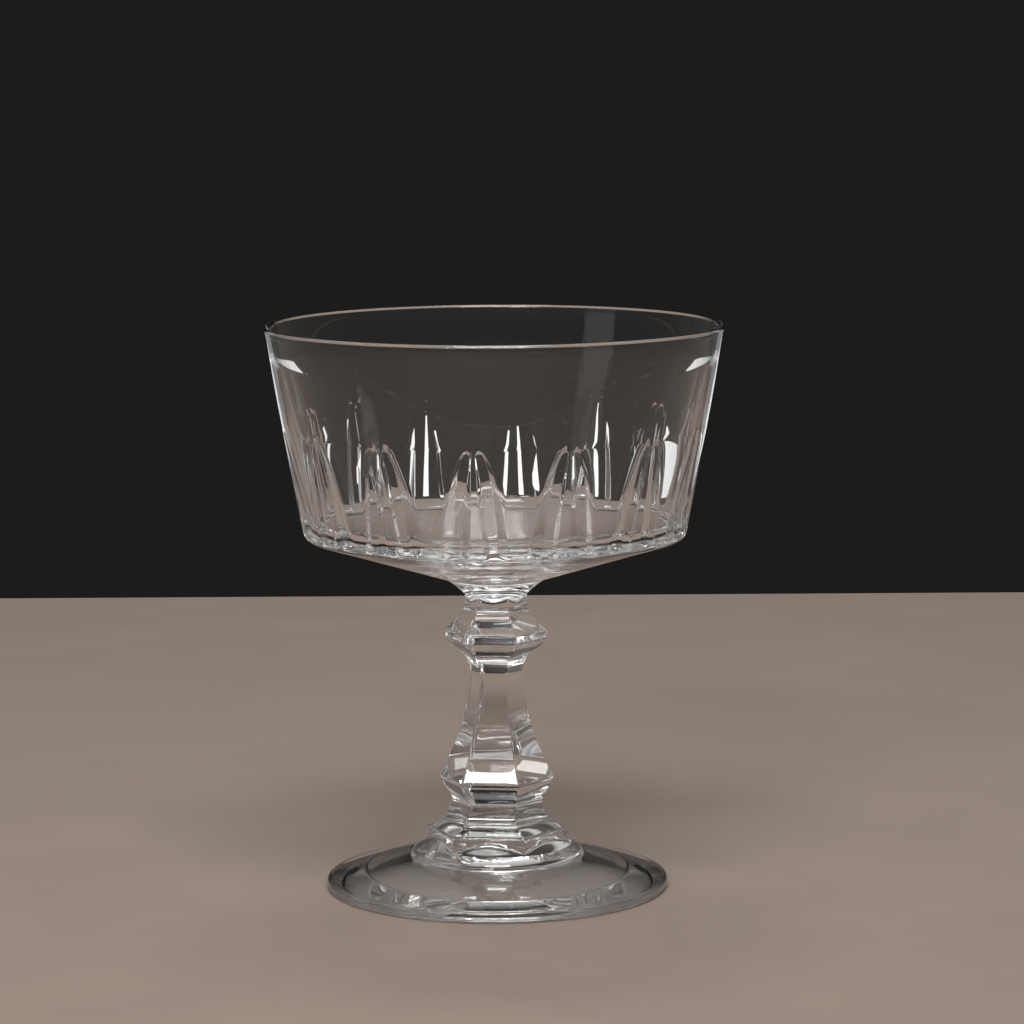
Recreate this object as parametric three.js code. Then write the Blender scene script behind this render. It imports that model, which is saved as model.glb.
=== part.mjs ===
// A stemmed crystal sherbet glass: six pieces stacked on one upright axis and joined at flat faces.
// Millimetres, +Z up. The foot rests on z = 0 and one flat side of the stem faces -Y.
import * as THREE from 'three';
import { mergeVertices } from 'three/addons/utils/BufferGeometryUtils.js';

// Heights of the pieces, from the table up.
const FOOT_HEIGHT = 9.35;
const PLINTH_HEIGHT = 10.95;
const BALUSTER_HEIGHT = 29.2;
const KNOP_HEIGHT = 11.3;
const COLLAR_HEIGHT = 3.9;
const BOWL_HEIGHT = 55.3;

// Radii of the flat faces where two pieces meet. Six-sided faces are measured to their corners.
const FOOT_PAD_RADIUS = 15.9;
const RING_RADIUS = 10.4;
const KNOP_SEAT_RADIUS = 6.75;
const NECK_RADIUS = 6.6;
const COLLAR_RADIUS = 8.5;

// Foot: a low slope with a rounded cushion in the middle and a steep-edged hollow below.
const FOOT_RADIUS = 36.3;
const FOOT_EDGE = 2.4;
const FOOT_EDGE_ROUND = 1.2;
const FOOT_SWELL = 0.35;
const REST_RING_WIDTH = 8.2;
const HOLLOW_DEPTH = 4.4;
const HOLLOW_FULLNESS = 0.6;
const CUSHION_RADIUS = 18.4;
const CUSHION_HEIGHT = 2.4;
const CUSHION_SHOULDER_RADIUS = 18.1;
const CUSHION_SHOULDER_DROP = 0.95;

// Plinth: upright sides that run into the foot's cushion, a sloping shoulder and a waist under the ring.
const PLINTH_RADIUS = 15.4;
const PLINTH_TOP_RADIUS = 15.0;
const PLINTH_SIDE = 3.5;
const SPREAD_HEIGHT = 1.6;
const SHOULDER_RADIUS = 11.6;
const SHOULDER_RISE = 1.4;
const WAIST_RADIUS = 9.65;
const RING_DEPTH = 1.4;
const RING_FOOT_RADIUS = 10.05;
const RING_FOOT_RISE = 0.35;

// Baluster: a belly with a sharp edge near its lower end, a long taper and a narrow shaft that flares.
const BELLY_RADIUS = 12.3;
const BELLY_RISE = 3.15;
const TAPER_RADIUS = 5.8;
const TAPER_RISE = 12.5;
const SHAFT_RADIUS = 5.5;
const SHAFT_DROP = 3.7;
const SHAFT_FLARE = 1.7;

// Knop: a small ring, an undercut, a narrow belly, a sloping crown and a hollow neck.
const KNOP_RADIUS = 10.95;
const KNOP_RING_RADIUS = 7.85;
const KNOP_RING_RISE = 1.25;
const KNOP_UNDERCUT_RADIUS = 9.6;
const KNOP_UNDERCUT_RISE = 2.2;
const KNOP_EDGE_RISE = 4.1;
const KNOP_BELLY_RISE = 5.1;
const KNOP_SHOULDER_RADIUS = 10.2;
const KNOP_SHOULDER_RISE = 6.3;
const KNOP_CROWN_RADIUS = 8.3;
const KNOP_CROWN_RISE = 8.15;
const KNOP_HOLLOW_RADIUS = 6.9;
const KNOP_HOLLOW_RISE = 9.4;

// Collar: the six-sided neck inside a round flare that widens to the bowl.
const FLARE_RADIUS = 5.4;
const FLARE_FULLNESS = 0.45;

// Bowl: a straight flaring wall on a shallow cone, with a beaded rim.
const RIM_RADIUS = 48.4;
const RIM_BEAD_RADIUS = 0.75;
const BASE_RADIUS = 40.6;
const BASE_RISE = 12.3;
const BASE_ROUND = 1.4;
const UNDERSIDE_RISE = 1.5;
const UNDERSIDE_RUN = 2.0;
const WALL_AT_RIM = 1.3;
const WALL_AT_BASE = 3.0;
const FLOOR_THICKNESS = 6.3;
const FLOOR_CROWN_RADIUS = 8.0;
const FLOOR_EDGE_RISE = 12.6;
const FLOOR_EDGE_RADIUS = 35.0;
const INNER_CORNER = 3.2;

// Spears: pointed ribs left standing where the lower wall sinks, each split into two lobes by a groove
// that widens downwards. Widths and reliefs are given at the base edge and at the points.
const SPEAR_COUNT = 14;
const SPEAR_LENGTH = 21.5;
const SPEAR_RELIEF = 1.0;
const SPEAR_POINT_RELIEF = 0.1;
const SPEAR_EDGE = 1.6;
const SPEAR_POINT_EDGE = 0.5;
const GROOVE_WIDTH = 6.0;
const GROOVE_POINT_WIDTH = 1.0;
const GROOVE_DEPTH_SHARE = 0.6;
const LOBE_MIDDLE = 1.3;
const LOBE_ROUND = 0.8;
const BOWL_TURN = THREE.MathUtils.degToRad(1.8);

// How finely the round and six-sided pieces are divided.
const ROUND_SECTORS = 60;
const SIX_SIDED_SECTORS = 36;
const SPEAR_COLUMNS = 10;
const CURVE_STEPS = 4;
const SPEAR_STEPS = 5;
const INSIDE_STEPS = 3;

// Heights of the faces where two pieces meet.
const footTop = FOOT_HEIGHT;
const plinthTop = footTop + PLINTH_HEIGHT;
const balusterTop = plinthTop + BALUSTER_HEIGHT;
const knopTop = balusterTop + KNOP_HEIGHT;
const collarTop = knopTop + COLLAR_HEIGHT;
const rimTop = collarTop + BOWL_HEIGHT;

// The bowl's outer wall runs straight from its base edge to the rim bead.
const baseHeight = collarTop + BASE_RISE;
const beadHeight = rimTop - RIM_BEAD_RADIUS;
const wallSlope = (RIM_RADIUS - BASE_RADIUS) / (beadHeight - baseHeight);
const spearTop = baseHeight + SPEAR_LENGTH;

function wallRadius(height) {
  return BASE_RADIUS + wallSlope * (height - baseHeight);
}

// Revolves an outline of (radius, height) points. place gives each point its radius and angle.
function revolve(outline, sectors, place) {
  const geometry = new THREE.LatheGeometry(outline, sectors);
  geometry.deleteAttribute('normal');
  geometry.deleteAttribute('uv');
  const position = geometry.attributes.position;
  for (let vertex = 0; vertex < position.count; vertex += 1) {
    const column = Math.floor(vertex / outline.length) % sectors;
    const point = outline[vertex % outline.length];
    const { radius, angle } = place(point, column);
    position.setXYZ(vertex, radius * Math.sin(angle), -radius * Math.cos(angle), point.y);
  }
  return mergeVertices(geometry);
}

// A plain round piece.
function round(path) {
  const turn = (2 * Math.PI) / ROUND_SECTORS;
  return revolve(path.getPoints(CURVE_STEPS), ROUND_SECTORS, (point, column) => ({
    radius: point.x,
    angle: column * turn,
  }));
}

// Radius of a six-sided section as a share of its corner radius, with a flat side at angle zero.
function sixSidedShare(angle) {
  const side = Math.PI / 3;
  const fromFlat = angle - side * Math.round(angle / side);
  return Math.cos(side / 2) / Math.cos(fromFlat);
}

// A six-sided piece that a round core of coreRadius(height) shows through where it is wider.
function sixSided(path, coreRadius) {
  const turn = (2 * Math.PI) / SIX_SIDED_SECTORS;
  return revolve(path.getPoints(CURVE_STEPS), SIX_SIDED_SECTORS, (point, column) => {
    const angle = column * turn;
    const core = point.x === 0 ? 0 : coreRadius(point.y);
    return { radius: Math.max(point.x * sixSidedShare(angle), core), angle };
  });
}

function footGeometry() {
  const restOuter = FOOT_RADIUS - FOOT_EDGE_ROUND;
  const restInner = restOuter - REST_RING_WIDTH;
  const cushionBottom = footTop - CUSHION_HEIGHT;
  const cushionShoulder = footTop - CUSHION_SHOULDER_DROP;
  const slopeHeight = (FOOT_EDGE + cushionBottom) / 2 + 2 * FOOT_SWELL;
  const path = new THREE.Path();
  path.moveTo(0, HOLLOW_DEPTH);
  path.quadraticCurveTo(HOLLOW_FULLNESS * restInner, HOLLOW_DEPTH, restInner, 0);
  path.lineTo(restOuter, 0);
  path.quadraticCurveTo(FOOT_RADIUS, 0, FOOT_RADIUS, FOOT_EDGE / 2);
  path.quadraticCurveTo(FOOT_RADIUS, FOOT_EDGE, restOuter, FOOT_EDGE);
  path.quadraticCurveTo((restOuter + CUSHION_RADIUS) / 2, slopeHeight, CUSHION_RADIUS, cushionBottom);
  path.quadraticCurveTo(CUSHION_SHOULDER_RADIUS, cushionShoulder, FOOT_PAD_RADIUS, footTop);
  path.lineTo(0, footTop);
  return round(path);
}

function plinthGeometry() {
  const sideTop = footTop + PLINTH_SIDE;
  const shoulderTop = sideTop + SHOULDER_RISE;
  const ringBottom = plinthTop - RING_DEPTH;
  const waistMiddle = (shoulderTop + ringBottom) / 2;
  const path = new THREE.Path();
  path.moveTo(0, footTop);
  for (let step = 0; step <= CURVE_STEPS; step += 1) {
    path.lineTo(PLINTH_RADIUS, footTop + (SPREAD_HEIGHT * step) / CURVE_STEPS);
  }
  path.lineTo(PLINTH_TOP_RADIUS, sideTop);
  path.lineTo(SHOULDER_RADIUS, shoulderTop);
  path.quadraticCurveTo(WAIST_RADIUS, waistMiddle, WAIST_RADIUS, ringBottom);
  path.lineTo(RING_FOOT_RADIUS, ringBottom + RING_FOOT_RISE);
  path.lineTo(RING_RADIUS, plinthTop);
  path.lineTo(0, plinthTop);
  const flatRadius = PLINTH_RADIUS * sixSidedShare(0);
  const spread = (FOOT_PAD_RADIUS - flatRadius) / SPREAD_HEIGHT;
  return sixSided(path, (height) => FOOT_PAD_RADIUS - spread * (height - footTop));
}

function balusterGeometry() {
  const bellyHeight = plinthTop + BELLY_RISE;
  const shaftHeight = balusterTop - SHAFT_DROP;
  const path = new THREE.Path();
  path.moveTo(0, plinthTop);
  path.lineTo(RING_RADIUS, plinthTop);
  path.lineTo(BELLY_RADIUS, bellyHeight);
  path.quadraticCurveTo(TAPER_RADIUS, bellyHeight + TAPER_RISE, SHAFT_RADIUS, shaftHeight);
  path.quadraticCurveTo(SHAFT_RADIUS, balusterTop - SHAFT_FLARE, KNOP_SEAT_RADIUS, balusterTop);
  path.lineTo(0, balusterTop);
  return sixSided(path, () => 0);
}

function knopGeometry() {
  const ring = balusterTop + KNOP_RING_RISE;
  const undercut = balusterTop + KNOP_UNDERCUT_RISE;
  const edge = balusterTop + KNOP_EDGE_RISE;
  const belly = balusterTop + KNOP_BELLY_RISE;
  const shoulder = balusterTop + KNOP_SHOULDER_RISE;
  const crown = balusterTop + KNOP_CROWN_RISE;
  const hollow = balusterTop + KNOP_HOLLOW_RISE;
  const path = new THREE.Path();
  path.moveTo(0, balusterTop);
  path.lineTo(KNOP_SEAT_RADIUS, balusterTop);
  path.lineTo(KNOP_RING_RADIUS, ring);
  path.quadraticCurveTo(KNOP_UNDERCUT_RADIUS, undercut, KNOP_RADIUS, edge);
  path.lineTo(KNOP_RADIUS, belly);
  path.quadraticCurveTo(KNOP_RADIUS, (belly + shoulder) / 2, KNOP_SHOULDER_RADIUS, shoulder);
  path.lineTo(KNOP_CROWN_RADIUS, crown);
  path.quadraticCurveTo(KNOP_HOLLOW_RADIUS, hollow, NECK_RADIUS, knopTop);
  path.lineTo(0, knopTop);
  return sixSided(path, () => 0);
}

function collarGeometry() {
  const path = new THREE.Path();
  path.moveTo(0, knopTop);
  for (let step = 0; step <= CURVE_STEPS; step += 1) {
    path.lineTo(NECK_RADIUS, knopTop + (COLLAR_HEIGHT * step) / CURVE_STEPS);
  }
  path.lineTo(0, collarTop);
  return sixSided(path, (height) => {
    const share = (height - knopTop) / COLLAR_HEIGHT;
    const widening = THREE.MathUtils.lerp(share * share, share, FLARE_FULLNESS);
    return FLARE_RADIUS + (COLLAR_RADIUS - FLARE_RADIUS) * widening;
  });
}

// How far down a spear a height lies: 0 at and above its point, 1 at the bowl's base edge.
function spearDepth(height) {
  return THREE.MathUtils.clamp((spearTop - height) / SPEAR_LENGTH, 0, 1);
}

// Distances from a spear's middle to the columns of its half: the groove's floor, both sides of a lobe
// and the foot of its edge, which follows a parabola down from the lobe's point.
function spearColumns(depth) {
  const edge = THREE.MathUtils.lerp(SPEAR_POINT_EDGE, SPEAR_EDGE, depth);
  const groove = THREE.MathUtils.lerp(GROOVE_POINT_WIDTH, GROOVE_WIDTH, depth) / 2;
  const foot = LOBE_MIDDLE + Math.sqrt(2 * LOBE_ROUND * SPEAR_LENGTH * depth);
  return [0, groove - edge / 2, groove, foot - edge, foot];
}

// How far the wall sinks at each of those columns. A lobe stands above the panel that its edge ends on.
function spearSinks(depth) {
  const panel = SPEAR_RELIEF * depth;
  const stand = THREE.MathUtils.lerp(SPEAR_POINT_RELIEF, SPEAR_RELIEF, depth);
  const lobe = panel - stand;
  const groove = lobe + stand * GROOVE_DEPTH_SHARE;
  return [groove, groove, lobe, lobe, panel];
}

// Rows of the bowl's outer wall that carry the spears, from the base edge to above their points.
function spearRows() {
  const rows = [];
  for (let step = 0; step <= SPEAR_STEPS; step += 1) {
    const height = spearTop - SPEAR_LENGTH * (1 - step / SPEAR_STEPS);
    rows.push(new THREE.Vector2(wallRadius(height), height));
  }
  return rows;
}

function bowlOutline() {
  const wallTop = beadHeight - RIM_BEAD_RADIUS;
  const cornerRadius = BASE_RADIUS - BASE_ROUND;
  const undersideRun = BASE_RADIUS - COLLAR_RADIUS - UNDERSIDE_RUN;
  const underside = (baseHeight - collarTop - UNDERSIDE_RISE) / undersideRun;
  const cornerHeight = baseHeight - BASE_ROUND - underside * BASE_ROUND;
  const beadRadius = RIM_RADIUS - RIM_BEAD_RADIUS;
  const below = new THREE.Path();
  below.moveTo(0, collarTop);
  below.lineTo(COLLAR_RADIUS, collarTop);
  below.lineTo(COLLAR_RADIUS + UNDERSIDE_RUN, collarTop + UNDERSIDE_RISE);
  below.lineTo(cornerRadius, cornerHeight);
  const bead = new THREE.Path();
  bead.moveTo(wallRadius(wallTop), wallTop);
  bead.absarc(beadRadius, beadHeight, RIM_BEAD_RADIUS, 0, Math.PI, false);
  const inside = new THREE.Path();
  const floorMiddle = collarTop + FLOOR_THICKNESS;
  const floorEdge = collarTop + FLOOR_EDGE_RISE;
  const floorSlope = (floorEdge - floorMiddle) / (FLOOR_EDGE_RADIUS - FLOOR_CROWN_RADIUS);
  const cornerTop = floorEdge + INNER_CORNER;
  const innerRadius = wallRadius(floorEdge) - WALL_AT_BASE;
  const innerHeight = floorEdge + floorSlope * (innerRadius - FLOOR_EDGE_RADIUS);
  inside.moveTo(wallRadius(wallTop) - WALL_AT_RIM, wallTop);
  inside.lineTo(wallRadius(cornerTop) - WALL_AT_BASE, cornerTop);
  inside.quadraticCurveTo(innerRadius, innerHeight, FLOOR_EDGE_RADIUS, floorEdge);
  inside.quadraticCurveTo(FLOOR_CROWN_RADIUS, floorMiddle, 0, floorMiddle);
  return [
    ...below.getPoints(CURVE_STEPS),
    ...spearRows(),
    ...bead.getPoints(CURVE_STEPS),
    ...inside.getPoints(INSIDE_STEPS),
  ];
}

function bowlGeometry() {
  const half = SPEAR_COLUMNS / 2;
  const spearTurn = (2 * Math.PI) / SPEAR_COUNT;
  const outline = bowlOutline();
  return revolve(outline, SPEAR_COUNT * SPEAR_COLUMNS, (point, column) => {
    const spear = Math.floor((column + half) / SPEAR_COLUMNS);
    const step = column - spear * SPEAR_COLUMNS;
    const middle = BOWL_TURN + spear * spearTurn;
    const even = middle + (step / SPEAR_COLUMNS) * spearTurn;
    const depth = point.x === wallRadius(point.y) ? spearDepth(point.y) : 0;
    if (depth === 0) {
      return { radius: point.x, angle: even };
    }
    const side = Math.abs(step);
    const columns = spearColumns(depth);
    const edgeFoot = columns.length - 1;
    const footAngle = columns[edgeFoot] / point.x;
    const panelStep = (spearTurn / 2 - footAngle) / (half - edgeFoot);
    const onPanel = side > edgeFoot;
    const aside = onPanel ? footAngle + (side - edgeFoot) * panelStep : columns[side] / point.x;
    const sink = spearSinks(depth)[Math.min(side, edgeFoot)];
    return { radius: point.x - sink, angle: middle + Math.sign(step) * aside };
  });
}

// Colourless crystal, with its own material for each piece.
function crystal() {
  return new THREE.MeshStandardMaterial({ color: 0xf1f4f3, roughness: 0.04, metalness: 0 });
}

function piece(name, geometry) {
  const mesh = new THREE.Mesh(geometry, crystal());
  mesh.name = name;
  return mesh;
}

const glass = new THREE.Group();
glass.add(piece('foot', footGeometry()));
glass.add(piece('stem_plinth', plinthGeometry()));
glass.add(piece('stem_baluster', balusterGeometry()));
glass.add(piece('stem_knop', knopGeometry()));
glass.add(piece('bowl_collar', collarGeometry()));
glass.add(piece('bowl', bowlGeometry()));

export default glass;
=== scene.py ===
"""Dresses a stemmed crystal sherbet glass: six clear pieces with their fine shapes, on a plain stage."""
import math

import bmesh
import bpy
from bpy.props import FloatProperty, FloatVectorProperty, IntProperty, PointerProperty
from bpy.types import Operator, Panel, PropertyGroup
from mathutils import Matrix, Vector


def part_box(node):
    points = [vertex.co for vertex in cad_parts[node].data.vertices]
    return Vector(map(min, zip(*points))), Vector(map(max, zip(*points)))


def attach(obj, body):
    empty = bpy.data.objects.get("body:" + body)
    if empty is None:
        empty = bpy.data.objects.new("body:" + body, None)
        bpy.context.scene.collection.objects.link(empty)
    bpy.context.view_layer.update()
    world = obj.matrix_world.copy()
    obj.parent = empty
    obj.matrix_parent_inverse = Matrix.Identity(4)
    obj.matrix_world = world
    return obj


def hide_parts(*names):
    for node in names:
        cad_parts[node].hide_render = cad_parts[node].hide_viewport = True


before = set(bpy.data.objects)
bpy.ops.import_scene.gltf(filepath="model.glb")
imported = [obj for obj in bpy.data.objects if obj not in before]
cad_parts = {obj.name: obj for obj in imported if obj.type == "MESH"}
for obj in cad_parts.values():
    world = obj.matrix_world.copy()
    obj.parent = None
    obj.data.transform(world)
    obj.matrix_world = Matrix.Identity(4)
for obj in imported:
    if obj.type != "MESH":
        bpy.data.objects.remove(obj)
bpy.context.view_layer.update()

bl_info = {
    "name": "Crystal Sherbet Glass",
    "version": (1, 0, 0),
    "blender": (4, 5, 0),
    "location": "3D View > Sidebar > Sherbet Glass",
    "description": "Builds a stemmed crystal sherbet glass piece by piece, and a plain stage for it",
    "category": "Add Mesh",
}

BODY = "root"
MM = 0.001

# How finely the pieces are divided.
CURVE_STEPS = 10
TAPER_STEPS = 30
HOLLOW_STEPS = 20
BEAD_STEPS = 20
SOFT_STEPS = 4
ROUND_COLUMNS = 240
FLAT_STEPS = 10
CORNER_STEPS = 8
SHORT_ROWS = 2
TALL_ROWS = 3
# Columns over half a spear's groove floor, groove side, lobe, sloping edge and panel.
HALF_SPEAR_COLUMNS = (3, 5, 5, 7, 4)
SPEAR_COLUMNS = 2 * sum(HALF_SPEAR_COLUMNS)
SPEAR_ROWS = 52
# Those rows lie closer together towards the spears' points, the more so the nearer this is to 1.
ROWS_TO_POINTS = 0.85
UPPER_WALL_ROWS = 14
WALL_ROWS = 6
FLOOR_ROWS = 14
FLARE_ROWS = 24

# How often light may pass or mirror on its way through the glass.
CLEAR_BOUNCES = 32
MIRROR_BOUNCES = 12

# A section bends by more than this at a crease, which is then softened.
CREASE_ANGLE = math.radians(12)
WELD_DISTANCE = 1e-7

# The stem's flat sides.
SIDES = 6
SIDE_ANGLE = math.tau / SIDES

# How uneven the soft patches and the mould's ripples are.
PATCH_DETAIL = 3.0
PATCH_ROUGHNESS = 0.55
PATCH_RANGE = (0.35, 0.65)
RIPPLE_DETAIL = 1.0
RIPPLE_ROUGHNESS = 0.4

# Places of the two colours and the result among a colour mix's sockets.
MIX_FIRST = 6
MIX_SECOND = 7
MIX_RESULT = 2

# Width in millimetres of the picture that the camera's lens is measured for.
SENSOR_WIDTH = 36.0


def length(name, millimetres, description):
    """A length that a user may change, with its default in millimetres."""
    return FloatProperty(
        name=name, description=description, default=millimetres * MM, unit="LENGTH", precision=5
    )


def share(name, default, description):
    """A share between nothing and all."""
    return FloatProperty(
        name=name, description=description, default=default, min=0.0, max=1.0, subtype="FACTOR"
    )


def turn(name, degrees, description):
    """An angle, with its default in degrees."""
    return FloatProperty(
        name=name, description=description, default=math.radians(degrees), subtype="ANGLE"
    )


def level(name, default, description):
    """A plain number, such as the strength of a lamp."""
    return FloatProperty(name=name, description=description, default=default, precision=4)


def colour(name, default, description):
    """A colour in linear light."""
    return FloatVectorProperty(
        name=name, description=description, default=default, size=3, min=0.0, max=1.0, subtype="COLOR"
    )


def spot(name, default, description):
    """A place in metres, turned with the camera."""
    return FloatVectorProperty(
        name=name, description=description, default=default, size=3, unit="LENGTH", subtype="TRANSLATION"
    )


def panel_size(name, default, description):
    """Width and height of a lamp in metres."""
    return FloatVectorProperty(
        name=name, description=description, default=default, size=2, unit="LENGTH"
    )


def low(node):
    """Height of the face that a piece stands on."""
    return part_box(node)[0].z


def high(node):
    """Height of a piece's highest face."""
    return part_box(node)[1].z


def reach(node):
    """How far a piece reaches from the upright axis."""
    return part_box(node)[1].x


class FootSizes(PropertyGroup):
    """Sizes of the round foot."""

    edge: length("Edge", 2.4, "Height of the rounded edge")
    edge_round: length("Edge rounding", 1.2, "How far the edge's rounding reaches in")
    rest_width: length("Resting ring", 8.2, "Width of the flat ring that the glass rests on")
    hollow: length("Hollow", 4.4, "Depth of the hollow under the foot")
    hollow_fullness: share("Hollow fullness", 0.6, "How far out the hollow keeps its depth")
    swell: length("Swell", 0.35, "How far the top swells above a straight slope")
    cushion_radius: length("Cushion radius", 18.4, "Radius of the crease round the cushion")
    cushion_height: length("Cushion height", 2.4, "Height of the cushion above its crease")
    shoulder_radius: length("Cushion shoulder", 18.1, "Radius that the cushion's curve leans towards")
    shoulder_drop: length("Shoulder drop", 0.95, "How far that shoulder lies below the cushion's top")


class PlinthSizes(PropertyGroup):
    """Sizes of the six-sided plinth and the ring on it."""

    radius: length("Radius", 15.4, "Corner radius of the plinth at its foot")
    top_radius: length("Top radius", 15.0, "Corner radius of the plinth's upper edge")
    side: length("Side", 3.5, "Height of the plinth's upright sides")
    spread: length("Spread", 1.6, "Height over which the foot's cushion runs into the sides")
    spread_curve: share("Spread curve", 0.3, "How round that run is")
    shoulder_radius: length("Shoulder radius", 11.6, "Corner radius at the top of the sloping shoulder")
    shoulder_rise: length("Shoulder rise", 1.4, "Height of the sloping shoulder")
    waist_radius: length("Waist radius", 9.65, "Corner radius of the waist under the ring")
    ring_radius: length("Ring radius", 10.4, "Corner radius of the ring, where the baluster stands on it")
    ring_foot_radius: length("Ring foot", 10.05, "Corner radius of the ring's lower edge")
    ring_foot_rise: length("Ring foot rise", 0.35, "Height of that edge above the waist")
    ring: length("Ring height", 1.4, "Height of the ring")


class BalusterSizes(PropertyGroup):
    """Sizes of the six-sided baluster."""

    radius: length("Belly radius", 12.3, "Corner radius of the belly's edge")
    belly_rise: length("Belly rise", 3.15, "Height of the belly's edge")
    taper_radius: length("Taper radius", 5.8, "Corner radius that the taper bends round")
    taper_rise: length("Taper rise", 12.5, "Height of that bend above the belly's edge")
    shaft_radius: length("Shaft radius", 5.5, "Corner radius of the narrowest place")
    shaft_drop: length("Shaft drop", 3.7, "How far that place lies below the top")
    flare_drop: length("Flare drop", 1.7, "How far below the top the shaft begins to flare")


class KnopSizes(PropertyGroup):
    """Sizes of the six-sided knop."""

    seat_radius: length("Seat radius", 6.75, "Corner radius where the knop stands on the baluster")
    ring_radius: length("Ring radius", 7.85, "Corner radius of the small ring's upper edge")
    ring_rise: length("Ring rise", 1.25, "Height of that edge")
    undercut_radius: length("Undercut radius", 9.6, "Corner radius that the undercut bends round")
    undercut_rise: length("Undercut rise", 2.2, "Height of that bend")
    edge_rise: length("Edge rise", 4.1, "Height of the knop's lower edge")
    belly_rise: length("Belly rise", 5.1, "Height of the belly's upper edge")
    shoulder_radius: length("Shoulder radius", 10.2, "Corner radius where the crown begins")
    shoulder_rise: length("Shoulder rise", 6.3, "Height of that place")
    crown_radius: length("Crown radius", 8.3, "Corner radius where the crown begins to hollow")
    crown_rise: length("Crown rise", 8.15, "Height of that place")
    hollow_radius: length("Hollow radius", 6.9, "Corner radius that the hollow bends round")
    hollow_rise: length("Hollow rise", 9.4, "Height of that bend")
    neck_radius: length("Neck radius", 6.6, "Corner radius of the neck above")


class CollarSizes(PropertyGroup):
    """Sizes of the collar between stem and bowl."""

    start_radius: length("Flare start", 5.4, "Radius of the round flare inside the neck")
    fullness: share("Flare fullness", 0.45, "How straight the flare widens")


class BowlSizes(PropertyGroup):
    """Sizes of the bowl."""

    bead: length("Rim bead", 0.75, "Radius of the rounded bead at the rim")
    base_radius: length("Base radius", 40.6, "Radius of the wall's lower edge")
    base_rise: length("Base rise", 12.3, "Height of that edge above the collar")
    base_round: length("Base rounding", 1.4, "How far the rounding of that edge reaches")
    underside_rise: length("Underside rise", 1.5, "Height of the steep start of the underside")
    underside_run: length("Underside run", 2.0, "Width of the steep start of the underside")
    wall_at_rim: length("Wall at rim", 1.3, "Thickness of the wall under the bead")
    wall_at_base: length("Wall at base", 3.0, "Thickness of the wall above the inner corner")
    floor: length("Floor", 6.3, "Thickness of the glass over the collar")
    floor_crown: length("Floor crown", 8.0, "Radius of the inner floor's flat middle")
    floor_edge_rise: length("Floor edge rise", 12.6, "Height of the inner floor's edge above the collar")
    floor_edge_radius: length("Floor edge radius", 35.0, "Radius of the inner floor's edge")
    inner_corner: length("Inner corner", 3.2, "Height of the curve from floor to wall")


class SpearSizes(PropertyGroup):
    """Sizes of the split spears round the bowl and of the panels sunk between them."""

    count: IntProperty(name="Count", description="How many spears ring the bowl", default=14, min=3)
    length: length("Length", 21.5, "Length from the base edge to the points")
    relief: length("Relief", 1.0, "How far the spears stand above the panels at the base edge")
    point_relief: length("Relief at points", 0.1, "How far they stand above the wall at their points")
    edge: length("Edge", 3.0, "Width of the sloping edge at the base")
    point_edge: length("Edge at points", 0.5, "Width of the sloping edge at the points")
    groove: length("Groove", 6.0, "Width of the groove between a spear's two lobes at the base")
    point_groove: length("Groove at points", 1.0, "Width of the groove at the points")
    groove_depth: share("Groove depth", 0.6, "Depth of the groove as a share of the relief")
    lobe_middle: length("Lobe middle", 1.3, "How far a lobe's point lies from the groove's middle")
    lobe_round: length("Lobe rounding", 0.8, "Radius of a lobe's rounded point")
    turn: turn("Turn", 1.8, "Turn of the bowl's pattern against the stem's front side")


class CrystalLook(PropertyGroup):
    """Finish of the crystal."""

    colour: colour("Colour", (0.985, 0.99, 0.988), "Tint of the clear crystal")
    bending: level("Refraction", 1.545, "How strongly the crystal bends light")
    corner: length("Corner rounding", 0.6, "Rounding of the stem's six upright edges")
    crease: length("Crease rounding", 0.5, "Reach of the rounding at a section's creases")
    blend: length("Blend", 0.4, "Reach of the blend between round and six-sided shapes")
    polish: level("Roughness", 0.004, "Roughness of the fire-polished surface")
    haze: level("Haze", 0.012, "Extra roughness where the polish is weakest")
    patches: level("Polish patches", 60.0, "How many soft patches of polish fall on a metre")
    ripple: length("Ripple", 0.02, "Height of the soft ripples left by the mould")
    ripples: level("Ripple count", 90.0, "How many ripples fall on a level metre")
    ripple_stretch: share("Upright ripples", 0.35, "Share of that count on an upright metre")


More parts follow.
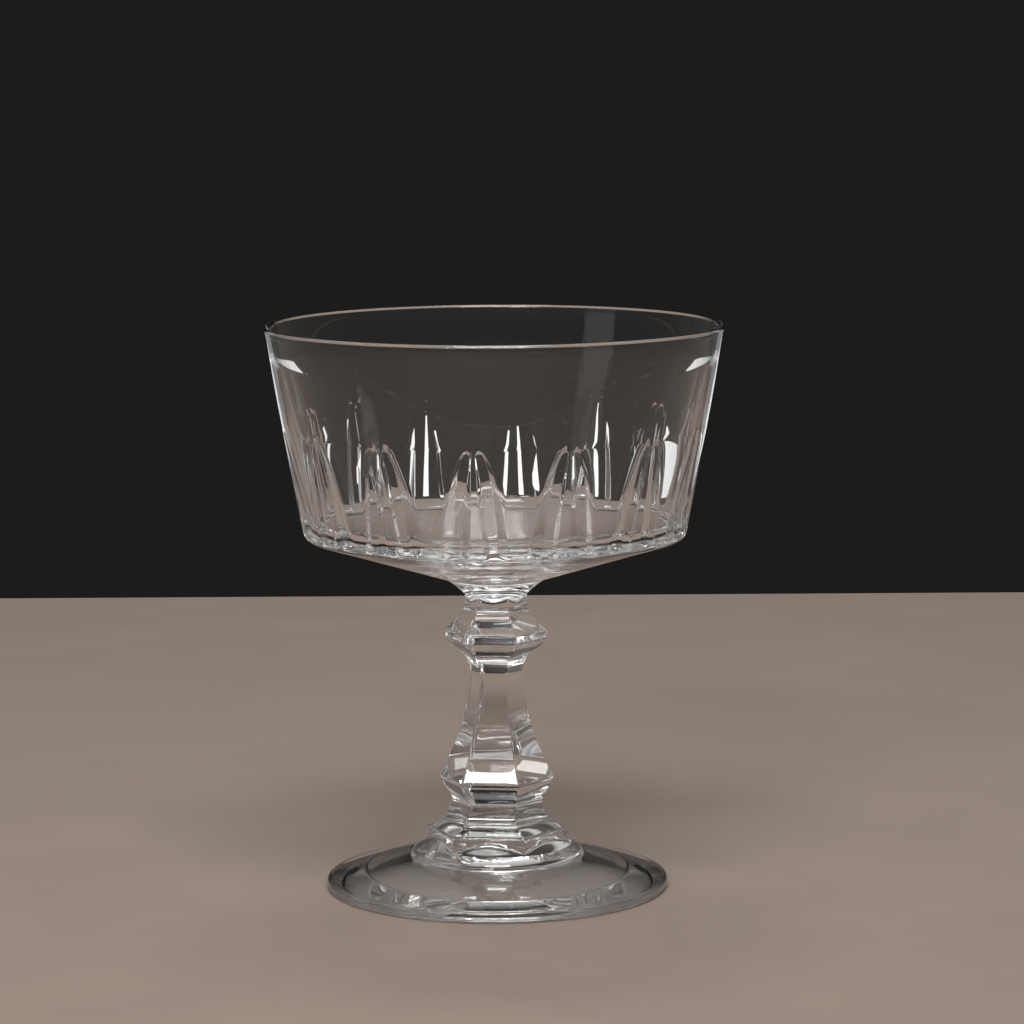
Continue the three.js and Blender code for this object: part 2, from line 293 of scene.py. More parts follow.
class StageLook(PropertyGroup):
    """Floor, backdrop, lamps and camera."""

    floor_colour: colour("Floor colour", (0.35, 0.275, 0.23), "Pale warm grey of the floor")
    floor_tone: share("Floor tone", 0.94, "Tone of the floor's darker patches as a share of its colour")
    floor_roughness: share("Floor roughness", 0.7, "How dull the floor is")
    floor_patches: level("Floor patches", 25.0, "How many soft patches fall on a metre of floor")
    backdrop_colour: colour("Backdrop colour", (0.012, 0.0115, 0.011), "Dark grey behind the floor")
    backdrop_reach: turn("Backdrop reach", 18.0, "How far the backdrop reaches to each side")
    backdrop_fade: turn("Backdrop fade", 12.0, "Over what angle it gives way to the room")
    room_colour: colour("Room colour", (0.09, 0.087, 0.084), "Grey of the room round the glass")
    ceiling_colour: colour("Ceiling colour", (0.6, 0.59, 0.58), "Pale ceiling over the glass")
    ceiling_start: turn("Ceiling start", 17.5, "How high above the level the ceiling begins")
    ceiling_full: turn("Ceiling full", 53.0, "How high above the level it is fully pale")
    fill_colour: colour("Fill colour", (0.25, 0.245, 0.24), "Soft light from all round, on dull surfaces")
    floor_back: length("Floor behind", 395.0, "How far the floor runs behind the glass")
    floor_front: length("Floor in front", 1500.0, "How far the floor runs in front of the glass")
    floor_half_width: length("Floor half width", 1500.0, "How far the floor runs to each side")
    floor_depth: length("Floor thickness", 30.0, "Thickness of the floor slab")
    floor_gap: length("Floor gap", 0.02, "Air between the resting ring and the floor")
    lamp_aim: length("Lamp aim", 60.0, "Height on the axis that the lamps point at")
    key_power: level("Key lamp", 2.4, "Power of the lamp at the front left, in watts")
    key_size: panel_size("Key size", (0.36, 0.1), "Size of that lamp")
    key_place: spot("Key place", (-0.28, -1.03, 0.77), "Place of that lamp")
    side_power: level("Side lamp", 0.15, "Power of the soft lamp at the left, in watts")
    side_size: panel_size("Side size", (0.35, 0.45), "Size of that lamp")
    side_place: spot("Side place", (-0.95, -0.55, 0.38), "Place of that lamp")
    back_power: level("Back lamps", 0.08, "Power of the lamp behind each side, in watts")
    back_size: panel_size("Back size", (0.23, 0.26), "Size of each of those lamps")
    back_place: spot("Back place", (0.46, 1.0, -0.1), "Place of the right one")
    low_power: level("Low lamps", 0.037, "Power of the low lamp behind each side, in watts")
    low_size: panel_size("Low size", (0.19, 0.052), "Size of each of those lamps")
    low_place: spot("Low place", (0.265, 1.0, -0.05), "Place of the right one")
    top_power: level("Top lamp", 5.1, "Power of the large lamp overhead, in watts")
    top_size: panel_size("Top size", (0.45, 0.33), "Size of that lamp")
    top_place: spot("Top place", (0.0, -0.47, 0.94), "Place of that lamp")
    high_power: level("High lamp", 1.3, "Power of the lamp high behind the glass, in watts")
    high_size: panel_size("High size", (0.3, 0.14), "Size of that lamp")
    high_place: spot("High place", (0.0, 0.36, 0.99), "Place of that lamp")
    camera_turn: turn("Camera turn", 7.5, "Direction of the camera round the glass")
    camera_distance: length("Camera distance", 843.3, "Level distance from the axis to the camera")
    camera_height: length("Camera height", 195.7, "Height of the camera")
    camera_pitch: turn("Camera pitch", 7.798, "How far the camera looks down")
    camera_yaw: turn("Camera yaw", 0.240, "How far the camera looks past the axis to the right")
    camera_roll: turn("Camera roll", -0.306, "How far the camera is tilted")
    camera_lens: FloatProperty(name="Lens", description="Focal length in millimetres", default=141.9)


class GlassSettings(PropertyGroup):
    """All sizes and looks of the glass and its stage."""

    foot: PointerProperty(type=FootSizes)
    plinth: PointerProperty(type=PlinthSizes)
    baluster: PointerProperty(type=BalusterSizes)
    knop: PointerProperty(type=KnopSizes)
    collar: PointerProperty(type=CollarSizes)
    bowl: PointerProperty(type=BowlSizes)
    spears: PointerProperty(type=SpearSizes)
    crystal: PointerProperty(type=CrystalLook)
    stage: PointerProperty(type=StageLook)


class Section:
    """Half of a piece's upright section, drawn from point to point as radius and height."""

    def __init__(self, radius, height):
        self.points = [Vector((radius, height))]

    def line(self, radius, height, steps=1):
        """Adds a straight stretch."""
        start = self.points[-1].copy()
        end = Vector((radius, height))
        self.points += [start.lerp(end, step / steps) for step in range(1, steps + 1)]

    def curve(self, control, end, steps=CURVE_STEPS):
        """Adds a round stretch that leaves its start towards control and comes from there to end."""
        start = self.points[-1].copy()
        self.points += round_stretch(start, Vector(control), Vector(end), steps)

    def soften(self, cut):
        """Rounds every crease over the given cut on each side."""
        softened = [self.points[0]]
        for before, corner, after in zip(self.points, self.points[1:], self.points[2:]):
            into = corner - before
            out = after - corner
            if into.angle(out) < CREASE_ANGLE:
                softened.append(corner)
                continue
            start = corner - into.normalized() * min(cut, into.length / 2)
            end = corner + out.normalized() * min(cut, out.length / 2)
            softened += [start] + round_stretch(start, corner, end, SOFT_STEPS)
        self.points = softened + [self.points[-1]]


def round_stretch(start, control, end, steps):
    """Points of a round stretch after its start."""
    points = []
    for step in range(1, steps + 1):
        part = step / steps
        points.append(start.lerp(control, part).lerp(control.lerp(end, part), part))
    return points


def rise(value, start, end):
    """Rises evenly from 0 at start to 1 at end."""
    return min(max((value - start) / (end - start), 0.0), 1.0)


def smooth_step(value, start, end):
    """Rises smoothly from 0 at start to 1 at end."""
    part = rise(value, start, end)
    return part * part * (3.0 - 2.0 * part)


def blend(first, last, part):
    """The value that lies a part of the way from one value to another."""
    return first + (last - first) * part


def soft_larger(first, second, within):
    """The larger of two radii, with a rounded change where they differ by less than within."""
    near = max(within - abs(first - second), 0.0) / within
    return max(first, second) + near * near * within / 4.0


def six_sided_point(radius, column, rounding):
    """One column's point on a six-sided outline of the given corner radius, with rounded corners."""
    side, step = divmod(column, FLAT_STEPS + CORNER_STEPS)
    centre = radius - rounding
    half = centre / 2.0
    inner = centre * math.cos(SIDE_ANGLE / 2.0)
    if step <= FLAT_STEPS:
        point = Vector((half * (2.0 * step / FLAT_STEPS - 1.0), -inner - rounding))
    else:
        bend = SIDE_ANGLE * (step - FLAT_STEPS) / CORNER_STEPS
        point = Vector((half + rounding * math.sin(bend), -inner - rounding * math.cos(bend)))
    point.rotate(Matrix.Rotation(side * SIDE_ANGLE, 2))
    return point


def spin_section(points, columns):
    """Spins a half section round the upright axis into a closed shape that faces out."""
    shape = bmesh.new()
    corners = [shape.verts.new((0.0, -point.x, point.y)) for point in points]
    edges = [shape.edges.new(pair) for pair in zip(corners, corners[1:])]
    bmesh.ops.spin(
        shape,
        geom=corners + edges,
        cent=(0.0, 0.0, 0.0),
        axis=(0.0, 0.0, 1.0),
        angle=math.tau,
        steps=columns,
        use_merge=True,
    )
    bmesh.ops.remove_doubles(shape, verts=shape.verts, dist=WELD_DISTANCE)
    bmesh.ops.recalc_face_normals(shape, faces=shape.faces)
    return shape


def move_columns(shape, columns, place):
    """Moves every point off the axis to the level place that its radius, height and column are given."""
    for vertex in shape.verts:
        radius = vertex.co.xy.length
        if radius < WELD_DISTANCE:
            continue
        angle = math.atan2(vertex.co.x, -vertex.co.y)
        column = round(angle * columns / math.tau) % columns
        vertex.co.xy = place(radius, vertex.co.z, column)


def lies_at(face, height):
    """Whether a face lies level at a height."""
    return all(abs(vertex.co.z - height) < WELD_DISTANCE for vertex in face.verts)


def finish_piece(shape, name, node, joints):
    """Makes a piece of a shape. Its flat faces at the joint heights let light straight through."""
    for face in shape.faces:
        joined = any(lies_at(face, joint) for joint in joints)
        face.material_index = 1 if joined else 0
        face.smooth = not joined
        for edge in face.edges if joined else ():
            edge.smooth = False
    mesh = bpy.data.meshes.new(name)
    shape.to_mesh(mesh)
    shape.free()
    piece = bpy.data.objects.new(name, mesh)
    bpy.context.collection.objects.link(piece)
    mesh.materials.append(crystal_material())
    mesh.materials.append(joint_material())
    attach(piece, BODY)
    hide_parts(node)


def settings():
    """The sizes and looks that are set for this scene."""
    return bpy.context.scene.sherbet_glass


def six_sided_piece(section, name, node, core=None):
    """Spins a section into a six-sided piece. core gives the radius of a round core at a height."""
    look = settings().crystal
    columns = SIDES * (FLAT_STEPS + CORNER_STEPS)
    bottom = section.points[0].y
    top = section.points[-1].y
    shape = spin_section([Vector((0, bottom))] + section.points + [Vector((0, top))], columns)

    def place(radius, height, column):
        point = six_sided_point(radius, column, look.corner)
        if core is None:
            return point
        return point.normalized() * soft_larger(point.length, core(height), look.blend)

    move_columns(shape, columns, place)
    finish_piece(shape, name, node, (bottom, top))


def node_maker(tree):
    """Gives a function that adds a node of a type to a tree, with plain values for its inputs."""

    def make(kind, **values):
        node = tree.nodes.new(kind)
        for name, value in values.items():
            node.inputs[name.replace("_", " ")].default_value = value
        return node

    return make


def mottle_group():
    """A node group: soft uneven patches, used for the crystal's polish and the floor's tone."""
    name = "Soft Mottle"
    if name in bpy.data.node_groups:
        return bpy.data.node_groups[name]
    group = bpy.data.node_groups.new(name, "ShaderNodeTree")
    group.interface.new_socket("Vector", in_out="INPUT", socket_type="NodeSocketVector")
    group.interface.new_socket("Scale", in_out="INPUT", socket_type="NodeSocketFloat")
    group.interface.new_socket("Mask", in_out="OUTPUT", socket_type="NodeSocketFloat")
    make = node_maker(group)
    inputs = make("NodeGroupInput")
    outputs = make("NodeGroupOutput")
    noise = make("ShaderNodeTexNoise", Detail=PATCH_DETAIL, Roughness=PATCH_ROUGHNESS)
    spread = make("ShaderNodeMapRange", From_Min=PATCH_RANGE[0], From_Max=PATCH_RANGE[1])
    group.links.new(inputs.outputs["Vector"], noise.inputs["Vector"])
    group.links.new(inputs.outputs["Scale"], noise.inputs["Scale"])
    group.links.new(noise.outputs["Fac"], spread.inputs["Value"])
    group.links.new(spread.outputs["Result"], outputs.inputs["Mask"])
    return group


def new_material(name):
    """An empty node material with an output."""
    material = bpy.data.materials.new(name)
    material.use_nodes = True
    material.node_tree.nodes.clear()
    return material


def crystal_material():
    """Clear fire-polished crystal with soft mould ripples and an uneven polish."""
    name = "clear crystal"
    if name in bpy.data.materials:
        return bpy.data.materials[name]
    look = settings().crystal
    material = new_material(name)
    tree = material.node_tree
    make = node_maker(tree)
    output = make("ShaderNodeOutputMaterial")
    glass = make("ShaderNodeBsdfPrincipled", Metallic=0.0, Transmission_Weight=1.0)
    glass.inputs["Base Color"].default_value = (*look.colour, 1.0)
    glass.inputs["IOR"].default_value = look.bending
    place = make("ShaderNodeTexCoord")
    mottle = make("ShaderNodeGroup")
    mottle.node_tree = mottle_group()
    mottle.inputs["Scale"].default_value = look.patches
    polish = make("ShaderNodeMapRange")
    polish.inputs["To Min"].default_value = look.polish
    polish.inputs["To Max"].default_value = look.polish + look.haze
    stretch = make("ShaderNodeMapping")
    stretch.inputs["Scale"].default_value = (1.0, 1.0, look.ripple_stretch)
    ripple = make(
        "ShaderNodeTexNoise", Scale=look.ripples, Detail=RIPPLE_DETAIL, Roughness=RIPPLE_ROUGHNESS
    )
    bump = make("ShaderNodeBump", Strength=1.0, Distance=1.0)
    height = make("ShaderNodeMapRange")
    height.inputs["To Max"].default_value = look.ripple
    tree.links.new(place.outputs["Object"], mottle.inputs["Vector"])
    tree.links.new(mottle.outputs["Mask"], polish.inputs["Value"])
    tree.links.new(polish.outputs["Result"], glass.inputs["Roughness"])
    tree.links.new(place.outputs["Object"], stretch.inputs["Vector"])
    tree.links.new(stretch.outputs["Vector"], ripple.inputs["Vector"])
    tree.links.new(ripple.outputs["Fac"], height.inputs["Value"])
    tree.links.new(height.outputs["Result"], bump.inputs["Height"])
    tree.links.new(bump.outputs["Normal"], glass.inputs["Normal"])
    tree.links.new(glass.outputs["BSDF"], output.inputs["Surface"])
    return material


def joint_material():
    """The faces inside the glass where two pieces were joined hot: nothing shows there."""
    name = "joined face"
    if name in bpy.data.materials:
        return bpy.data.materials[name]
    material = new_material(name)
    make = node_maker(material.node_tree)
    output = make("ShaderNodeOutputMaterial")
    clear = make("ShaderNodeBsdfTransparent")
    clear.inputs["Color"].default_value = (1.0, 1.0, 1.0, 1.0)
    material.node_tree.links.new(clear.outputs["BSDF"], output.inputs["Surface"])
    return material


class SHERBET_OT_add_foot(Operator):
    """Adds the round foot with its cushion, resting ring and hollow"""

    bl_idname = "sherbet.add_foot"
    bl_label = "Add Foot"

    def execute(self, context):
        size = settings().foot
        radius = reach("foot")
        top = high("foot")
        rest_outer = radius - size.edge_round
        rest_inner = rest_outer - size.rest_width
        crease = top - size.cushion_height
        slope_radius = (rest_outer + size.cushion_radius) / 2.0
        slope_height = (size.edge + crease) / 2.0 + 2.0 * size.swell
        hollow_radius = size.hollow_fullness * rest_inner
        section = Section(0.0, size.hollow)
        section.curve((hollow_radius, size.hollow), (rest_inner, 0.0), HOLLOW_STEPS)
        section.line(rest_outer, 0.0)
        section.curve((radius, 0.0), (radius, size.edge / 2.0))
        section.curve((radius, size.edge), (rest_outer, size.edge))
        section.curve((slope_radius, slope_height), (size.cushion_radius, crease))
        section.curve((size.shoulder_radius, top - size.shoulder_drop), (reach("stem_plinth"), top))
        section.soften(settings().crystal.crease)
        shape = spin_section(section.points + [Vector((0.0, top))], ROUND_COLUMNS)
        finish_piece(shape, "crystal_foot", "foot", (top,))
        return {"FINISHED"}


class SHERBET_OT_add_plinth(Operator):
    """Adds the six-sided plinth that rises from the foot's cushion, with its ring"""

    bl_idname = "sherbet.add_plinth"
    bl_label = "Add Plinth"

    def execute(self, context):
        size = settings().plinth
        look = settings().crystal
        bottom = low("stem_plinth")
        top = high("stem_plinth")
        pad = reach("stem_plinth")
        side_top = bottom + size.side
        shoulder_top = side_top + size.shoulder_rise
        ring_bottom = top - size.ring
        flat = (size.radius - look.corner) * math.cos(SIDE_ANGLE / 2.0) + look.corner

        def cushion(height):
            part = (height - bottom) / size.spread
            return blend(pad, flat, blend(part, part * part, size.spread_curve))

        section = Section(size.radius, bottom)
        section.line(size.radius, bottom + size.spread, FLARE_ROWS)
        section.line(size.top_radius, side_top, SHORT_ROWS)
        section.line(size.shoulder_radius, shoulder_top, SHORT_ROWS)
        waist = (size.waist_radius, (shoulder_top + ring_bottom) / 2.0)
        section.curve(waist, (size.waist_radius, ring_bottom))
        section.line(size.ring_foot_radius, ring_bottom + size.ring_foot_rise)
        section.line(size.ring_radius, top)
        section.soften(look.crease)
        six_sided_piece(section, "crystal_plinth", "stem_plinth", cushion)
        return {"FINISHED"}


class SHERBET_OT_add_baluster(Operator):
    """Adds the six-sided baluster of the stem"""

    bl_idname = "sherbet.add_baluster"
    bl_label = "Add Baluster"

    def execute(self, context):
        size = settings().baluster
        ring = settings().plinth.ring_radius
        seat = settings().knop.seat_radius
        bottom = low("stem_baluster")
        top = high("stem_baluster")
        belly = bottom + size.belly_rise
        shaft = top - size.shaft_drop
        section = Section(ring, bottom)
        section.line(size.radius, belly, TALL_ROWS)
        bend = (size.taper_radius, belly + size.taper_rise)
        section.curve(bend, (size.shaft_radius, shaft), TAPER_STEPS)
        section.curve((size.shaft_radius, top - size.flare_drop), (seat, top))
        section.soften(settings().crystal.crease)
        six_sided_piece(section, "crystal_baluster", "stem_baluster")
        return {"FINISHED"}


class SHERBET_OT_add_knop(Operator):
    """Adds the six-sided knop above the baluster"""

    bl_idname = "sherbet.add_knop"
    bl_label = "Add Knop"

    def execute(self, context):
        size = settings().knop
        radius = reach("stem_knop")
        bottom = low("stem_knop")
        top = high("stem_knop")
        edge = bottom + size.edge_rise
        belly = bottom + size.belly_rise
        shoulder = bottom + size.shoulder_rise
        section = Section(size.seat_radius, bottom)
        section.line(size.ring_radius, bottom + size.ring_rise, TALL_ROWS)
        section.curve((size.undercut_radius, bottom + size.undercut_rise), (radius, edge))
        section.line(radius, belly)
        section.curve((radius, (belly + shoulder) / 2.0), (size.shoulder_radius, shoulder))
        section.line(size.crown_radius, bottom + size.crown_rise, SHORT_ROWS)
        section.curve((size.hollow_radius, bottom + size.hollow_rise), (size.neck_radius, top))
        section.soften(settings().crystal.crease)
        six_sided_piece(section, "crystal_knop", "stem_knop")
        return {"FINISHED"}


class SHERBET_OT_add_collar(Operator):
    """Adds the collar, where the six-sided neck runs into a round flare under the bowl"""

    bl_idname = "sherbet.add_collar"
    bl_label = "Add Collar"

    def execute(self, context):
        size = settings().collar
        neck = settings().knop.neck_radius
        bottom = low("bowl_collar")
        top = high("bowl_collar")
        end_radius = reach("bowl_collar")

        def flare(height):
            part = (height - bottom) / (top - bottom)
            return blend(size.start_radius, end_radius, blend(part * part, part, size.fullness))

        section = Section(neck, bottom)
        section.line(neck, top, FLARE_ROWS)
        six_sided_piece(section, "crystal_collar", "bowl_collar", flare)
        return {"FINISHED"}


class SHERBET_OT_add_bowl(Operator):
    """Adds the bowl with its rim bead and its ring of pointed, split spears"""

    bl_idname = "sherbet.add_bowl"
    bl_label = "Add Bowl"

    def execute(self, context):
        size = settings().bowl
        spear = settings().spears
        bottom = low("bowl")
        rim = high("bowl")
        rim_radius = reach("bowl")
        collar_radius = reach("bowl_collar")
        base = bottom + size.base_rise
        bead_height = rim - size.bead
        slope = (rim_radius - size.base_radius) / (bead_height - base)
        spear_top = base + spear.length

        def wall(height):
            return size.base_radius + slope * (height - base)

        section = self.section(size, wall, bottom, base, spear_top, bead_height, collar_radius)
        columns = spear.count * SPEAR_COLUMNS
        shape = spin_section([Vector((0.0, bottom))] + section.points, columns)

        def place(radius, height, column):
            number, step = divmod(column + SPEAR_COLUMNS // 2, SPEAR_COLUMNS)
            step -= SPEAR_COLUMNS // 2
            pitch = math.pi * radius / spear.count
            aside = pitch * abs(step) * 2.0 / SPEAR_COLUMNS
            angle = spear.turn + math.tau * number / spear.count
            sink = 0.0
            if height > base - size.base_round and radius > wall(height) - size.wall_at_rim:
                drop = max(spear_top - height, 0.0)
                fade = smooth_step(height, base - size.base_round, base)
                follow = fade * (1.0 - smooth_step(height, spear_top, bead_height - size.bead))
                stations = (0.0, *spear_stations(spear, drop), pitch)
                aside = blend(aside, column_aside(abs(step), stations), follow)
                sink = spear_sink(spear, aside, drop) * fade
            angle += math.copysign(aside / radius, step)
            radius -= sink
            return Vector((radius * math.sin(angle), -radius * math.cos(angle)))

        move_columns(shape, columns, place)
        finish_piece(shape, "crystal_bowl", "bowl", (bottom,))
        return {"FINISHED"}

    @staticmethod
    def section(size, wall, bottom, base, spear_top, bead_height, collar_radius):
        """The bowl's half section, from the collar out, up the wall, over the rim and down inside."""
        bead_bottom = bead_height - size.bead
        start_radius = collar_radius + size.underside_run
        start_height = bottom + size.underside_rise
        steepness = (base - start_height) / (size.base_radius - start_radius)
        corner = Vector((size.base_radius, base - size.base_round))
        under = Vector((corner.x - size.base_round, corner.y - steepness * size.base_round))
        floor_edge = bottom + size.floor_edge_rise
        corner_top = floor_edge + size.inner_corner
        section = Section(collar_radius, bottom)
        section.line(start_radius, start_height, SHORT_ROWS)
        section.line(under.x, under.y, WALL_ROWS)
        section.curve(corner, (wall(base), base))
        points = blend(base, spear_top, ROWS_TO_POINTS)
        section.curve((wall(points), points), (wall(spear_top), spear_top), SPEAR_ROWS)
        section.line(wall(bead_bottom), bead_bottom, UPPER_WALL_ROWS)
        bead_radius = wall(bead_height) - size.bead
        for step in range(BEAD_STEPS + 1):
            bend = math.pi * step / BEAD_STEPS
            across = bead_radius + size.bead * math.cos(bend)
            section.line(across, bead_height + size.bead * math.sin(bend))
        section.line(wall(bead_bottom) - size.wall_at_rim, bead_bottom)
        section.line(wall(corner_top) - size.wall_at_base, corner_top, WALL_ROWS)
        middle = bottom + size.floor
        floor_slope = (floor_edge - middle) / (size.floor_edge_radius - size.floor_crown)
        inner_radius = wall(floor_edge) - size.wall_at_base
        inner_height = floor_edge + floor_slope * (inner_radius - size.floor_edge_radius)
        section.curve((inner_radius, inner_height), (size.floor_edge_radius, floor_edge))
        section.curve((size.floor_crown, middle), (0.0, middle), FLOOR_ROWS)
        return section


def spear_stations(spear, drop):
    """Distances from a spear's middle to the groove's two edges and the two edges of its outer slope."""
    depth = min(drop / spear.length, 1.0)
    edge = blend(spear.point_edge, spear.edge, depth)
    groove = blend(spear.point_groove, spear.groove, depth) / 2.0
    foot = spear.lobe_middle + math.sqrt(2.0 * spear.lobe_round * drop)
    return groove - edge / 2.0, groove, max(foot - edge, groove), max(foot, groove + edge)


def column_aside(column, stations):
    """Distance from a spear's middle to a column, with the columns spread evenly between stations."""
    for columns, start, end in zip(HALF_SPEAR_COLUMNS, stations, stations[1:]):
        if column <= columns:
            return blend(start, end, column / columns)
        column -= columns
    return stations[-1]


def spear_sink(spear, aside, drop):
    """How far the wall sinks at a distance beside a spear's middle and a drop below its points."""
    sunk = smooth_step(drop, 0.0, spear.length)
    groove_side, groove, shoulder, foot = spear_stations(spear, drop)
    lean = (aside - spear.lobe_middle) / spear.lobe_round
    below = drop - lean * (aside - spear.lobe_middle) / 2.0
    arch = rise(below / math.hypot(1.0, lean), 0.0, foot - shoulder)
    groove_cut = spear.groove_depth * (1.0 - rise(aside, groove_side, groove))
    height = blend(spear.point_relief, spear.relief, sunk) * arch * (1.0 - groove_cut)
    return spear.relief * sunk - height


class SHERBET_OT_set_stage(Operator):
    """Adds the plain floor, the backdrop, the lamps and the camera"""

    bl_idname = "sherbet.set_stage"
    bl_label = "Set Stage"

    def execute(self, context):
        look = settings().stage
        scene = context.scene
        scene.view_settings.view_transform = "Standard"
        scene.cycles.max_bounces = CLEAR_BOUNCES
        scene.cycles.transmission_bounces = CLEAR_BOUNCES
        scene.cycles.glossy_bounces = MIRROR_BOUNCES
        scene.cycles.transparent_max_bounces = 2 * CLEAR_BOUNCES
        facing = Matrix.Rotation(look.camera_turn, 4, "Z")
        add_floor(look, facing)
        set_backdrop(scene, look, facing)
        aim = Vector((0.0, 0.0, look.lamp_aim))
        add_lamp("key lamp", look.key_power, look.key_size, facing @ Vector(look.key_place), aim)
        add_lamp("side lamp", look.side_power, look.side_size, facing @ Vector(look.side_place), aim)
        for name, side in (("left", -1.0), ("right", 1.0)):
            mirror = facing @ Matrix.Scale(side, 4, (1.0, 0.0, 0.0))
            back_spot = mirror @ Vector(look.back_place)
            low_spot = mirror @ Vector(look.low_place)
            add_lamp(name + " back lamp", look.back_power, look.back_size, back_spot, aim)
            add_lamp(name + " low lamp", look.low_power, look.low_size, low_spot, aim)
        add_lamp("top lamp", look.top_power, look.top_size, facing @ Vector(look.top_place), aim)
        add_lamp("high lamp", look.high_power, look.high_size, facing @ Vector(look.high_place), aim)
        add_camera(scene, look, facing)
        return {"FINISHED"}


def add_floor(look, facing):
    """A plain slab whose back edge lies behind the glass as seen from the camera."""
    shape = bmesh.new()
    bmesh.ops.create_cube(shape, size=1.0)
    run = look.floor_front + look.floor_back
    middle = (look.floor_back - look.floor_front) / 2.0
    sunk = -look.floor_gap - look.floor_depth / 2.0
    bmesh.ops.scale(shape, verts=shape.verts, vec=(2.0 * look.floor_half_width, run, look.floor_depth))
    bmesh.ops.translate(shape, verts=shape.verts, vec=(0.0, middle, sunk))
    bmesh.ops.transform(shape, verts=shape.verts, matrix=facing)
    mesh = bpy.data.meshes.new("floor")
    shape.to_mesh(mesh)
    shape.free()
    floor = bpy.data.objects.new("floor", mesh)
    bpy.context.collection.objects.link(floor)
    mesh.materials.append(floor_material(look))


def floor_material(look):
    """A dull pale surface with a faint uneven tone."""
    material = new_material("pale floor")
    tree = material.node_tree
    make = node_maker(tree)
    output = make("ShaderNodeOutputMaterial")
    surface = make("ShaderNodeBsdfPrincipled", Roughness=look.floor_roughness)
    place = make("ShaderNodeTexCoord")
    mottle = make("ShaderNodeGroup")
    mottle.node_tree = mottle_group()
    mottle.inputs["Scale"].default_value = look.floor_patches
    tone = make("ShaderNodeMix")
    tone.data_type = "RGBA"
    light, dark = tone.inputs[MIX_FIRST], tone.inputs[MIX_SECOND]
    light.default_value = (*look.floor_colour, 1.0)
    dark.default_value = (*[look.floor_tone * part for part in look.floor_colour], 1.0)
    tree.links.new(place.outputs["Object"], mottle.inputs["Vector"])
    tree.links.new(mottle.outputs["Mask"], tone.inputs["Factor"])
    tree.links.new(tone.outputs[MIX_RESULT], surface.inputs["Base Color"])
    tree.links.new(surface.outputs["BSDF"], output.inputs["Surface"])
    return material


def set_backdrop(scene, look, facing):
    """A dark backdrop in a grey room, as seen or mirrored, and a soft fill for dull surfaces."""
    world = bpy.data.worlds.new("backdrop")
    world.use_nodes = True
    world.node_tree.nodes.clear()
    tree = world.node_tree
    make = node_maker(tree)
    output = make("ShaderNodeOutputWorld")
    direction = make("ShaderNodeTexCoord")
    parts = make("ShaderNodeSeparateXYZ")
    overhead = make("ShaderNodeMapRange")
    overhead.inputs["From Min"].default_value = math.sin(look.ceiling_start)
    overhead.inputs["From Max"].default_value = math.sin(look.ceiling_full)
    room = make("ShaderNodeMix")
    room.data_type = "RGBA"
    room.inputs[MIX_FIRST].default_value = (*look.room_colour, 1.0)
    room.inputs[MIX_SECOND].default_value = (*look.ceiling_colour, 1.0)
    ahead = make("ShaderNodeVectorMath")
    ahead.operation = "DOT_PRODUCT"
    ahead.inputs[1].default_value = facing @ Vector((0.0, 1.0, 0.0))
    behind = make("ShaderNodeMapRange")
    behind.inputs["From Min"].default_value = math.cos(look.backdrop_reach + look.backdrop_fade)
    behind.inputs["From Max"].default_value = math.cos(look.backdrop_reach)
    scenery = make("ShaderNodeMix")
    scenery.data_type = "RGBA"
    scenery.inputs[MIX_SECOND].default_value = (*look.backdrop_colour, 1.0)
    seen = make("ShaderNodeBackground")
    fill = make("ShaderNodeBackground")
    fill.inputs["Color"].default_value = (*look.fill_colour, 1.0)
    path = make("ShaderNodeLightPath")
    dull = make("ShaderNodeMixShader")
    tree.links.new(direction.outputs["Generated"], parts.inputs["Vector"])
    tree.links.new(parts.outputs["Z"], overhead.inputs["Value"])
    tree.links.new(overhead.outputs["Result"], room.inputs["Factor"])
    tree.links.new(direction.outputs["Generated"], ahead.inputs[0])
    tree.links.new(ahead.outputs["Value"], behind.inputs["Value"])
    tree.links.new(behind.outputs["Result"], scenery.inputs["Factor"])
    tree.links.new(room.outputs[MIX_RESULT], scenery.inputs[MIX_FIRST])
    tree.links.new(scenery.outputs[MIX_RESULT], seen.inputs["Color"])
    tree.links.new(path.outputs["Diffuse Depth"], dull.inputs["Fac"])
    tree.links.new(seen.outputs["Background"], dull.inputs[1])
    tree.links.new(fill.outputs["Background"], dull.inputs[2])
    tree.links.new(dull.outputs["Shader"], output.inputs["Surface"])
    scene.world = world


def add_lamp(name, power, size, place, aim):
    """A soft rectangular lamp that points at aim and isn't seen itself."""
    light = bpy.data.lights.new(name, "AREA")
    light.shape = "RECTANGLE"
    light.size, light.size_y = size
    light.energy = power
    lamp = bpy.data.objects.new(name, light)
    bpy.context.collection.objects.link(lamp)
    facing_aim = (aim - place).to_track_quat("-Z", "Y")
    lamp.matrix_world = Matrix.LocRotScale(place, facing_aim, None)
    lamp.visible_camera = False


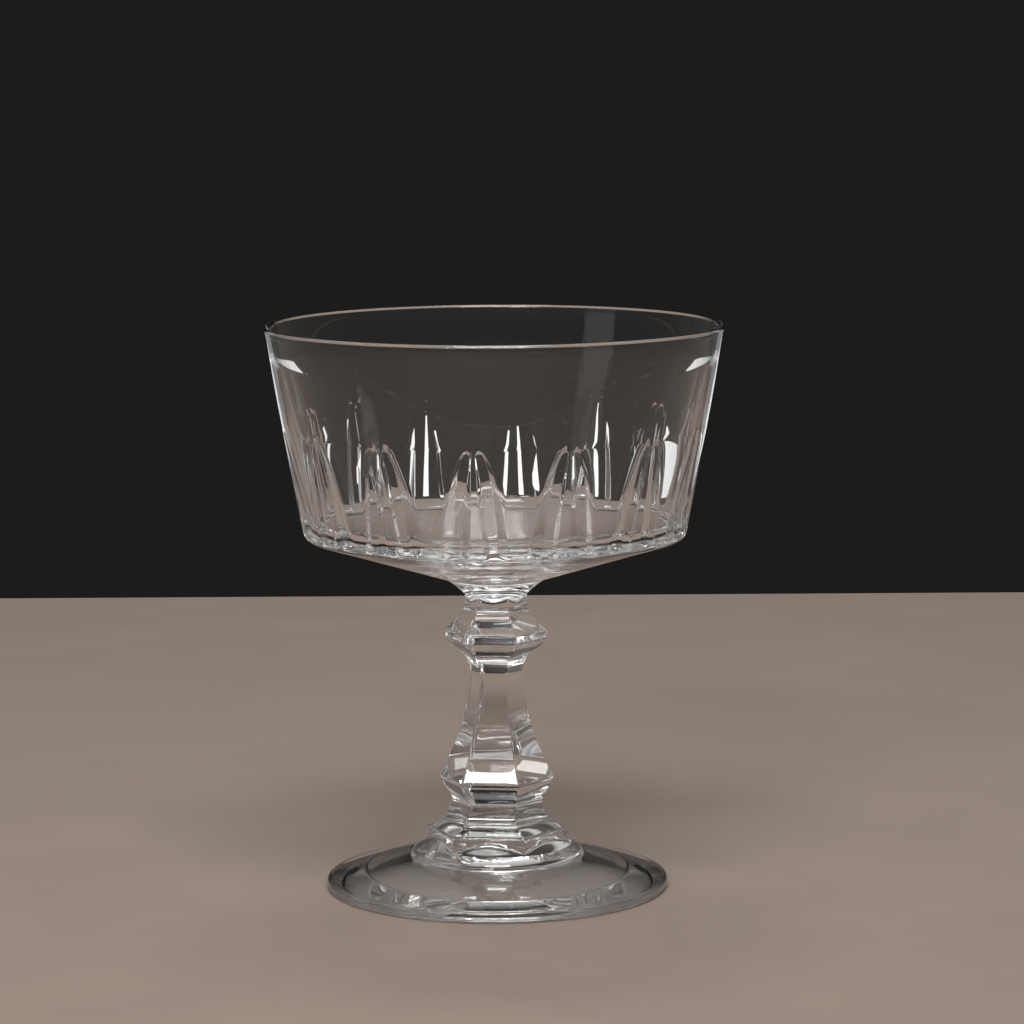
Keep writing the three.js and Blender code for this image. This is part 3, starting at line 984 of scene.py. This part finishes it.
def add_camera(scene, look, facing):
    """The camera at the viewing angle of the reference view."""
    camera = bpy.data.cameras.new("camera")
    camera.sensor_width = SENSOR_WIDTH
    camera.lens = look.camera_lens
    holder = bpy.data.objects.new("camera", camera)
    bpy.context.collection.objects.link(holder)
    holder.matrix_world = (
        facing
        @ Matrix.Translation((0.0, -look.camera_distance, look.camera_height))
        @ Matrix.Rotation(-look.camera_yaw, 4, "Z")
        @ Matrix.Rotation(math.pi / 2.0 - look.camera_pitch, 4, "X")
        @ Matrix.Rotation(look.camera_roll, 4, "Z")
    )
    scene.camera = holder


class SHERBET_PT_panel(Panel):
    """Lists the pieces of the glass in the sidebar."""

    bl_label = "Sherbet Glass"
    bl_idname = "SHERBET_PT_panel"
    bl_space_type = "VIEW_3D"
    bl_region_type = "UI"
    bl_category = "Sherbet Glass"

    def draw(self, context):
        for step in STEPS:
            self.layout.operator(step.bl_idname)
        for name in GlassSettings.__annotations__:
            group = getattr(context.scene.sherbet_glass, name)
            box = self.layout.box()
            box.label(text=name.title())
            for value in type(group).__annotations__:
                box.prop(group, value)


SETTINGS = (
    FootSizes,
    PlinthSizes,
    BalusterSizes,
    KnopSizes,
    CollarSizes,
    BowlSizes,
    SpearSizes,
    CrystalLook,
    StageLook,
    GlassSettings,
)
STEPS = (
    SHERBET_OT_add_foot,
    SHERBET_OT_add_plinth,
    SHERBET_OT_add_baluster,
    SHERBET_OT_add_knop,
    SHERBET_OT_add_collar,
    SHERBET_OT_add_bowl,
    SHERBET_OT_set_stage,
)


def register():
    for item in (*SETTINGS, *STEPS, SHERBET_PT_panel):
        bpy.utils.register_class(item)
    bpy.types.Scene.sherbet_glass = PointerProperty(type=GlassSettings)


def unregister():
    del bpy.types.Scene.sherbet_glass
    for item in reversed((*SETTINGS, *STEPS, SHERBET_PT_panel)):
        bpy.utils.unregister_class(item)


def main():
    """Registers the classes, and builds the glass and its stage."""
    register()
    bpy.ops.sherbet.add_foot()
    bpy.ops.sherbet.add_plinth()
    bpy.ops.sherbet.add_baluster()
    bpy.ops.sherbet.add_knop()
    bpy.ops.sherbet.add_collar()
    bpy.ops.sherbet.add_bowl()
    bpy.ops.sherbet.set_stage()


if __name__ == "__main__":
    main()
